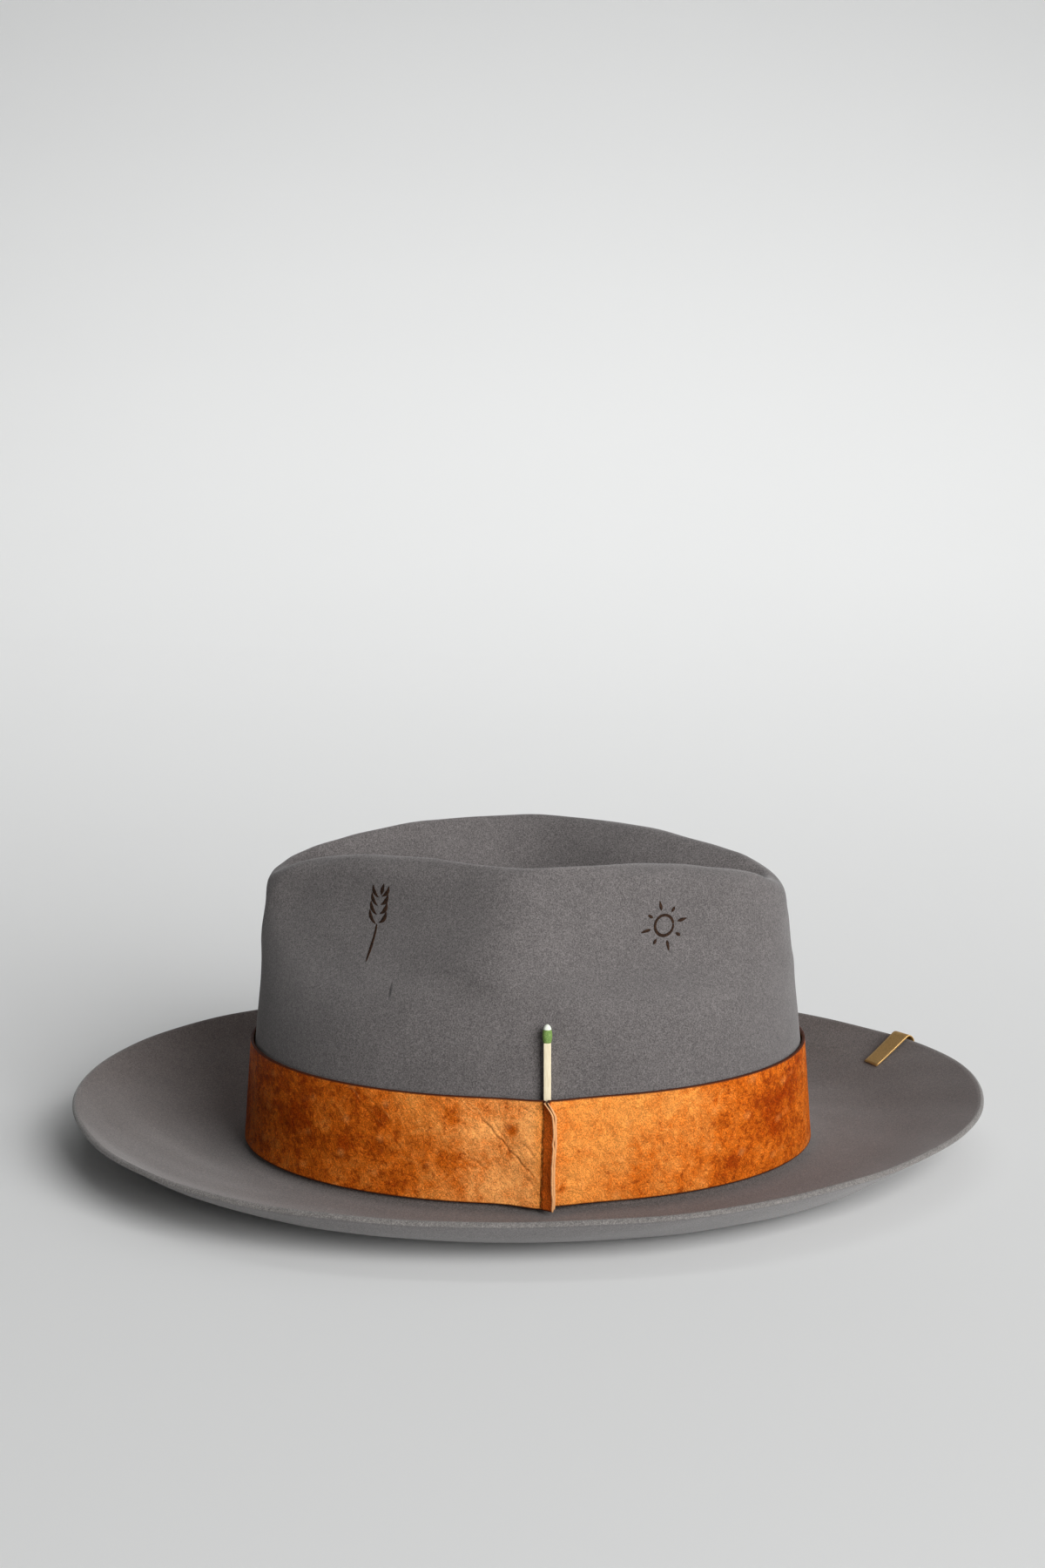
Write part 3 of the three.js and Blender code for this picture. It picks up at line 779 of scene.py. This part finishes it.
# %% [markdown]
# ### The ear of wheat and the sun
# The ear has one bent stem and grains in pairs. The sun is a ring with eight rays of two
# lengths. Both are plain country ornaments, small enough to read as a maker's touch.

# %% Draw the ornaments
WHEAT_PLACE = (-54.5, 93.5)
SUN_PLACE = (48.5, 94.0)
GRAIN_PAIR = [((-0.5, 0), (-2.9, 1.4), (-2.6, 4.4)), ((0.5, 0.5), (3.1, 1.6), (3.2, 4.6))]
GRAIN_HALF_WIDTH = 0.62


def wheat_strokes(y, z):
    """A stem that leans with its ear, four pairs of grains and one at the tip."""
    strokes = [pen_stroke(line_of((y - 3.2, z - 12.5), (y - 0.6, z - 6), (y + 0.4, z - 0.5)), 0.42, 0.25)]
    for k in range(4):
        foot = np.array([y + 0.5 + 0.35 * k, z - 0.6 + 2.9 * k])
        strokes += [pen_stroke(line_of(*(foot + np.array(grain))), GRAIN_HALF_WIDTH) for grain in GRAIN_PAIR]
    last_grain = line_of((y + 1.9, z + 9.0), (y + 2.2, z + 11), (y + 2.9, z + 13.4))
    strokes.append(pen_stroke(last_grain, GRAIN_HALF_WIDTH))
    return strokes


def sun_strokes(y, z):
    """A ring whose ends meet, and eight rays of two lengths round it."""
    ring = np.array([y, z]) + 3.3 * circle(np.linspace(0.1, 2 * np.pi + 0.06, 48))
    strokes = [pen_stroke(ring, 0.5, 0.1)]
    for k in range(8):
        direction = circle(k * np.pi / 4 + 0.2)
        reach = 8.6 if k % 2 == 0 else 7.0
        ray = np.array([y, z]) + np.outer([4.9, 6, reach], direction)
        strokes.append(pen_stroke(line_of(*ray, 12), 0.55))
    return strokes


wheat = burned_mark("burned_wheat_ear", wheat_strokes(*WHEAT_PLACE))
sun = burned_mark("burned_sun", sun_strokes(*SUN_PLACE))

# %% [markdown]
# ## Materials
# Every material is made of nodes that read places in metres, so a grain of 0.5 mm stays
# 0.5 mm. A small class keeps the node code short: it adds a node, joins its inputs and
# hands back its output.

# %% A short way to write nodes
class Look:
    """One material, or a world, and its shader, with short calls for the nodes that feed it."""

    def __init__(self, name, blocks=bpy.data.materials, shader="Principled BSDF", place="Object", **values):
        self.block = blocks.new(name)
        self.block.use_nodes = True
        self.tree = self.block.node_tree
        self.shader = self.tree.nodes[shader]
        self.place = self.tree.nodes.new("ShaderNodeTexCoord").outputs[place]
        for socket, value in values.items():
            self.shader.inputs[socket.replace("_", " ")].default_value = value

    def add(self, kind, inputs=(), output=0, **settings):
        """Adds a node; inputs holds (socket, value or output) pairs. Gives one of its outputs."""
        node = self.tree.nodes.new("ShaderNode" + kind)
        for key, value in settings.items():
            setattr(node, key, value)
        for socket, value in inputs:
            if isinstance(value, bpy.types.NodeSocket):
                self.tree.links.new(value, node.inputs[socket])
            else:
                node.inputs[socket].default_value = value
        return node.outputs[output]

    def along(self, axis):
        """How far a place lies along one axis."""
        return self.add("SeparateXYZ", [(0, self.place)], output=axis)

    def noise(self, size_mm, detail=2.0, rough=0.5, stretch=(1, 1, 1), place=None, twist=0.0):
        """Noise from 0 to 1 whose lumps are about size_mm apart."""
        where = self.add("Mapping", [(0, place or self.place), (3, stretch)])
        pairs = [("Vector", where), ("Scale", 1000 / size_mm), ("Detail", detail), ("Roughness", rough)]
        return self.add("TexNoise", [*pairs, ("Distortion", twist)])

    def spread(self, value, low, high, to_low=0.0, to_high=1.0, smooth=True):
        """Carries low..high over to to_low..to_high and stops at both ends."""
        kind = "SMOOTHSTEP" if smooth else "LINEAR"
        pairs = [(0, value), (1, low), (2, high), (3, to_low), (4, to_high)]
        return self.add("MapRange", pairs, interpolation_type=kind)

    def maths(self, kind, a, b=0.0):
        """One sum, product or other operation on two numbers."""
        return self.add("Math", [(0, a), (1, b)], operation=kind)

    def mix(self, share, a, b, kind="MIX"):
        """Colour a where the share is 0, colour b where it is 1, or b laid over a in another way."""
        a, b = (value if isinstance(value, bpy.types.NodeSocket) else (*value, 1) for value in (a, b))
        return self.add("Mix", [(0, share), (6, a), (7, b)], output=2, data_type="RGBA", blend_type=kind)

    def stored(self, name):
        """The number that a piece keeps for each of its points under this name."""
        return self.add("Attribute", output="Fac", attribute_name=name)

    def shade(self, colour, factor):
        """The colour times a number."""
        return self.add("VectorMath", [(0, colour), ("Scale", factor)], operation="SCALE")

    def bump(self, height, distance_mm, strength=1.0, under=None):
        """A normal that tilts with the height; another bump can lie under it."""
        pairs = [("Height", height), ("Distance", distance_mm * MM), ("Strength", strength)]
        if under:
            pairs.append(("Normal", under))
        return self.add("Bump", pairs, output="Normal")

    def to(self, socket, value):
        """Joins an output to one of the shader's inputs."""
        self.tree.links.new(value, self.shader.inputs[socket])

    def on(self, *pieces):
        """Gives the material to pieces."""
        for piece in pieces:
            piece.data.materials.clear()
            piece.data.materials.append(self.block)


print("short calls:", [call for call in vars(Look) if call[0] != "_"])

# %% [markdown]
# ### Grey fur felt
# Fur felt is a mat of fine hairs in several greys, brushed in one direction. Seen close, it
# is flecked at about half a millimetre; seen from further off, it is clouded. The brim's top
# is a little browner than the crown, the crown's pinched crest carries a painted highlight, and
# the raw-cut edge shows the paler inside. A sheen lifts the surface where it turns away, as
# hairs do. One short crease, 4 mm long, is dented into the wall below the wheat and darkened by
# painted shade: the distance from its middle, stretched along it, sets both.

# %% Felt material
FELT_GREY = (0.127, 0.1155, 0.1135)
FELT_BROWNER = (0.111, 0.091, 0.084)
FELT_CUT = (0.178, 0.165, 0.156)
FOLD_MARK_MOVE = (0.0, 0.0487, -0.0742)
FOLD_MARK_TURN = (math.radians(11), 0, 0)
FOLD_MARK_SCALE = (0, 1700, 330)

fur = Look("grey_fur_felt", Roughness=0.94, Specular_IOR_Level=0.18, Sheen_Weight=0.28, Sheen_Roughness=0.55)
above = fur.maths("SUBTRACT", 1.0, fur.stored("underside"))
on_brim = fur.maths("MULTIPLY", fur.spread(fur.along("Z"), 0.040, 0.026), above)
grey = fur.mix(on_brim, FELT_GREY, FELT_BROWNER)
grey = fur.mix(fur.stored("cut_edge"), grey, FELT_CUT)
fleck = fur.spread(fur.noise(0.48, 3, 0.75), 0.37, 0.63, 0.56, 1.46, smooth=False)
tuft = fur.spread(fur.noise(1.3, 4, 0.7), 0.38, 0.62, 0.88, 1.12, smooth=False)
cloud = fur.spread(fur.noise(18, 5, 0.65), 0.35, 0.65, 0.94, 1.06, smooth=False)
grey = fur.shade(grey, fur.maths("MULTIPLY", fleck, fur.maths("MULTIPLY", tuft, cloud)))
# Painted highlight: the pinched crest is lightened up to 1.28 times.
grey = fur.shade(grey, fur.spread(fur.stored("crest"), 0.0, 1.0, 1.0, 1.28))

fold_mark = fur.place
for socket, value in ((1, FOLD_MARK_MOVE), (2, FOLD_MARK_TURN), (3, FOLD_MARK_SCALE)):
    fold_mark = fur.add("Mapping", [(0, fold_mark), (socket, value)])
fold_away = fur.add("VectorMath", [(0, fold_mark)], output="Value", operation="LENGTH")
on_left = fur.spread(fur.along("X"), 0.0, 0.01)
in_fold = fur.maths("MULTIPLY", fur.spread(fold_away, 1.2, 0.1), on_left)
# Painted shade in the crease: the wall darkens to 0.45 times at its middle.
grey = fur.shade(grey, fur.spread(in_fold, 0.0, 1.0, 1.0, 0.45))
fur.to("Base Color", grey)
nap = fur.bump(fur.noise(0.55, 3, 0.65), 0.12, 0.55)
fur.to("Normal", fur.bump(fur.maths("SUBTRACT", 1.0, in_fold), 0.4, 0.8, under=nap))
fur.on(felt)
print("felt: flecks 0.48 mm, tufts 1.3 mm, clouds 18 mm")

# %% [markdown]
# ### Burned felt
# Heat turns the felt's hairs dark brown and leaves them short, so the strokes are almost
# black in the middle and have no sheen.

# %% Burned material
burned = Look("burned_felt", Roughness=0.85, Specular_IOR_Level=0.2)
char = burned.spread(burned.noise(0.6, 3, 0.6), 0.35, 0.65)
burned.to("Base Color", burned.mix(char, (0.011, 0.005, 0.003), (0.046, 0.021, 0.010)))
burned.to("Normal", burned.bump(burned.noise(0.5, 2), 0.05, 0.5))
burned.on(wheat, sun)
print("burned felt: char spots 0.6 mm")

# %% [markdown]
# ### Vegetable-tanned leather
# The hide took the dye unevenly: it is pale tan beside the seam, palest just in front of it, and
# a deeper orange brown further round, with clouds, freckles and fine slanting veins. Cut edges
# are dark, partly burnished and partly painted shade where the band meets the felt, and the
# two raw ends of the fin are pale. One depth of dye, summed from noises of two sizes, drives
# the colours; grain then shades them, the creases take painted shade with a painted highlight
# on their lips, and the fin's root takes a dark line of painted shade.

# %% Clouds, patches and freckles of the leather
TAN_CREAM = (0.960, 0.400, 0.110)
TAN_PALE = (0.800, 0.290, 0.056)
TAN_MIDDLE = (0.600, 0.128, 0.008)
TAN_DEEP = (0.360, 0.046, 0.001)
TAN_RED = (0.190, 0.020, 0.001)

hide = Look("tan_leather", Roughness=0.52, Specular_IOR_Level=0.05)
strip = hide.add("CombineXYZ", [(0, hide.stored("along_strip")), (2, hide.along("Z"))])
along_hat = hide.along("Y")
from_seam = hide.maths("ABSOLUTE", hide.maths("SUBTRACT", along_hat, 0.010))
darkness = hide.spread(from_seam, 0.012, 0.095, -0.07, 0.17)
front_of_fin, near_fin = hide.spread(along_hat, 0.005, 0.000), hide.spread(along_hat, -0.040, -0.012)
# Towards cream from 40 mm in front of the seam to just past it.
pale_beside_seam = hide.maths("MULTIPLY", front_of_fin, near_fin)
pale = hide.mix(pale_beside_seam, TAN_PALE, TAN_CREAM)
clouds = hide.noise(24, 5, 0.62, place=strip, twist=0.4)
patches = hide.noise(8, 7, 0.74, place=strip, twist=0.9)
depth = hide.maths("MULTIPLY", hide.maths("ADD", clouds, patches), 0.62)
depth = hide.maths("ADD", hide.maths("ADD", depth, darkness), hide.stored("spot"))
tan = hide.mix(hide.spread(depth, 0.42, 0.78), pale, TAN_MIDDLE)
tan = hide.mix(hide.spread(depth, 0.73, 0.98, 0.0, 0.95), tan, TAN_DEEP)

freckle_field = hide.noise(2.8, 6, 0.8, place=strip, twist=0.5)
freckle_limit = hide.spread(depth, 0.45, 0.90, 0.61, 0.47)
freckles = hide.spread(hide.maths("SUBTRACT", freckle_field, freckle_limit), 0.0, 0.06, 0.0, 0.58)
tan = hide.mix(freckles, tan, TAN_RED)

print("leather: freckles 2.8 mm, patches 8 mm, clouds 24 mm")

# %% Grain, creases, fin and edges of the leather
LEATHER_RAW = (0.800, 0.420, 0.190)
LEATHER_RIM_BURNISH_AND_SHADE = (0.070, 0.020, 0.010)
LEATHER_FLESH = (0.300, 0.135, 0.055)
FIN_BROWN = (0.520, 0.080, 0.004)

leaning = hide.add("Mapping", [(0, strip), (2, (0, math.radians(-52), 0))])
fibre = hide.noise(2.2, 5, 0.72, stretch=(0.24, 1, 1), place=leaning, twist=0.6)
fibre_away = hide.maths("ABSOLUTE", hide.maths("SUBTRACT", fibre, 0.5))
fibre_lines = hide.spread(fibre_away, 0.0, 0.040, 1.0, 0.0)
crumb = hide.spread(hide.noise(0.55, 3, 0.75, place=strip), 0.38, 0.62, 0.66, 1.36, smooth=False)
grain = hide.noise(2.2, 4, 0.75, stretch=(0.7, 1, 1), place=strip, twist=1.5)
grain = hide.spread(grain, 0.40, 0.60, 0.84, 1.17, smooth=False)
# Painted shade darkens the creases to 0.58 times, and a painted highlight in cream lies on their lips.
painted_crease_shade = hide.spread(hide.stored("crease"), 0.08, 0.36, 1.0, 0.58)
painted_lip_highlight = hide.spread(hide.stored("crease"), -0.03, -0.15, 0.0, 0.8)
tan = hide.mix(painted_lip_highlight, tan, TAN_CREAM)

root_noise = hide.spread(hide.noise(1.2, 2), 0.3, 0.7, -0.45, 0.45)
ragged_root = hide.maths("ADD", hide.stored("past_root"), root_noise)
on_fin = hide.spread(ragged_root, -0.25, 0.25)
tan = hide.mix(hide.maths("MULTIPLY", on_fin, 0.85), tan, FIN_BROWN)
# Painted shade: a dark line along the fin's ragged root, down to 0.35 times.
painted_root_shade = hide.spread(hide.maths("ABSOLUTE", ragged_root), 0.1, 0.5, 0.35, 1.0)
streaks = hide.spread(fibre_lines, 0.0, 1.0, 0.93, 1.30)
for factor in (crumb, grain, painted_crease_shade, painted_root_shade, streaks):
    tan = hide.shade(tan, factor)
tan = hide.mix(hide.stored("flesh_side"), tan, LEATHER_FLESH)
# The rims' dark colour is partly burnished leather and partly painted shade where the band meets the felt.
tan = hide.mix(hide.stored("rim"), tan, LEATHER_RIM_BURNISH_AND_SHADE)
tan = hide.mix(hide.stored("cut_end"), tan, LEATHER_RAW)
hide.to("Base Color", tan)
pores = hide.bump(hide.noise(0.6, 3, 0.65, place=strip), 0.12, 0.6)
veins = hide.bump(fibre_lines, 0.10, 0.5, under=pores)
wrinkles = hide.bump(hide.noise(4, 5, 0.66, place=leaning, twist=1.2), 0.35, 0.7, under=veins)
hide.to("Normal", wrinkles)
hide.to("Roughness", hide.spread(clouds, 0.3, 0.7, 0.46, 0.62))
hide.on(band)
print("leather: crumbs 0.55 mm, grain 2.2 mm, veins 2.2 mm")

# %% [markdown]
# ### Match and brass
# Aspen is nearly white with faint long fibres. The dipped heads are chalky. Rolled brass has
# fine brushed lines along the strip and a dull brown film where fingers don't reach. Worn
# brass also scatters light as paint does, so the shader is only partly a metal.

# %% Match materials
def two_tone(look, field, dark, light, bump_mm, strength=0.5):
    """A field of noise colours the look from dark to light, and raises its surface too."""
    look.to("Base Color", look.mix(look.spread(field, 0.3, 0.7), dark, light))
    look.to("Normal", look.bump(field, bump_mm, strength))


wood = Look("aspen_wood", Roughness=0.7, Specular_IOR_Level=0.25)
fibre = wood.noise(0.5, 4, 0.6, stretch=(1, 1, 0.06))
two_tone(wood, fibre, (0.82, 0.70, 0.47), (0.93, 0.84, 0.62), 0.06, 0.4)
wood.on(stick)

green = Look("green_match_compound", Roughness=0.75, Specular_IOR_Level=0.3)
two_tone(green, green.noise(0.45, 3, 0.65), (0.110, 0.205, 0.045), (0.250, 0.380, 0.110), 0.08)
green.on(head)

white = Look("white_match_compound", Roughness=0.75, Specular_IOR_Level=0.3)
two_tone(white, white.noise(0.4, 3, 0.65), (0.74, 0.80, 0.66), (0.92, 0.95, 0.86), 0.06)
white.on(tip)
print("match: wood fibres 0.5 mm, chalk 0.4 mm")

# %% Brass material
brass = Look("satin_brass", Metallic=0.62, Roughness=0.40)
brushed = brass.noise(0.35, 3, 0.6, stretch=(0.12, 1, 1))
film = brass.noise(4, 4, 0.6)
metal = brass.mix(brass.spread(brushed, 0.3, 0.7), (0.58, 0.350, 0.125), (0.71, 0.445, 0.165))
metal = brass.mix(brass.spread(film, 0.58, 0.8, 0.0, 0.45), metal, (0.22, 0.13, 0.05))
brass.to("Base Color", metal)
brass.to("Roughness", brass.spread(brushed, 0.3, 0.7, 0.28, 0.44))
brass.to("Normal", brass.bump(brushed, 0.03, 0.4))
brass.on(clip)
print("materials:", len(bpy.data.materials))

# %% [markdown]
# ## Studio
# The hat stands on a pale paper sweep: a flat floor that rises in a large curve behind it,
# so no line shows between floor and wall. A large soft light at the right gives the shadow
# under the raised brim at the left, and a weaker one brightens the paper behind the hat. The
# room itself is bright on the right and dark on the left: its strength grows with the
# direction's share towards +Y, and a little with those towards +X and +Z.

# %% Paper floor and background
SWEEP_HALF_WIDTH = 7.0
SWEEP_FRONT = 9.0
SWEEP_BACK = -0.9
SWEEP_RADIUS = 4.5

arc = np.linspace(0, np.pi / 2, 24)
curve_x, curve_z = SWEEP_BACK - SWEEP_RADIUS * np.sin(arc), SWEEP_RADIUS * (1 - np.cos(arc))
sweep_x = np.concatenate([[SWEEP_FRONT], curve_x, curve_x[-1:]])
sweep_z = np.concatenate([[0], curve_z, curve_z[-1:] + 0.5])
sweep_y = np.array([-SWEEP_HALF_WIDTH, 0, SWEEP_HALF_WIDTH])
sweep_grid = np.stack(np.broadcast_arrays(sweep_x[:, None], sweep_y[None], sweep_z[:, None]), -1)
sweep_faces = grid_cells(len(sweep_x), 3)[:, ::-1]
sweep = mesh_object("paper_sweep", sweep_grid.reshape(-1, 3), [sweep_faces])

paper = Look("pale_paper", Roughness=0.9, Specular_IOR_Level=0.1)
paper_tone = paper.noise(400, 2)
paper.to("Base Color", paper.mix(paper_tone, (0.87, 0.875, 0.87), (0.89, 0.895, 0.89)))
paper.on(sweep)
print("paper sweep:", len(sweep_faces), "faces")

# %% Lights and room
def soft_light(name, place, aim, size, watts, spread=180):
    """Puts up a square light, turned to face the aim; spread narrows its beam, in degrees."""
    data = bpy.data.lights.new(name, "AREA")
    data.shape, data.size, data.energy, data.spread = "SQUARE", size, watts, math.radians(spread)
    light = add_object(name, data)
    light.location = place
    toward = np.array(aim, float) - np.array(place, float)
    yaw, flat = math.atan2(toward[1], toward[0]), math.hypot(toward[0], toward[1])
    light.rotation_euler = Euler((math.pi / 2 + math.atan2(toward[2], flat), 0, yaw - math.pi / 2))


soft_light("key_right", (2.36, 1.65, 1.42), (0, 0, 0.05), 2.2, 112)
soft_light("glow_behind", (-0.8, 0.12, 2.2), (-2.3, 0.16, 0.2), 1.6, 16.4, spread=120)
room = Look("room", bpy.data.worlds, "Background", "Generated", Color=(0.98, 0.99, 1.0, 1))
strength = 0.0
for axis, share in (("Y", 0.63), ("X", 0.06), ("Z", 0.05)):
    facing = room.maths("MAXIMUM", room.along(axis), 0.0)
    strength = room.add("Math", [(0, facing), (1, share), (2, strength)], operation="MULTIPLY_ADD")
room.to("Strength", strength)
bpy.context.scene.world = room.block
bpy.context.scene.view_settings.view_transform = "Standard"

# %% [markdown]
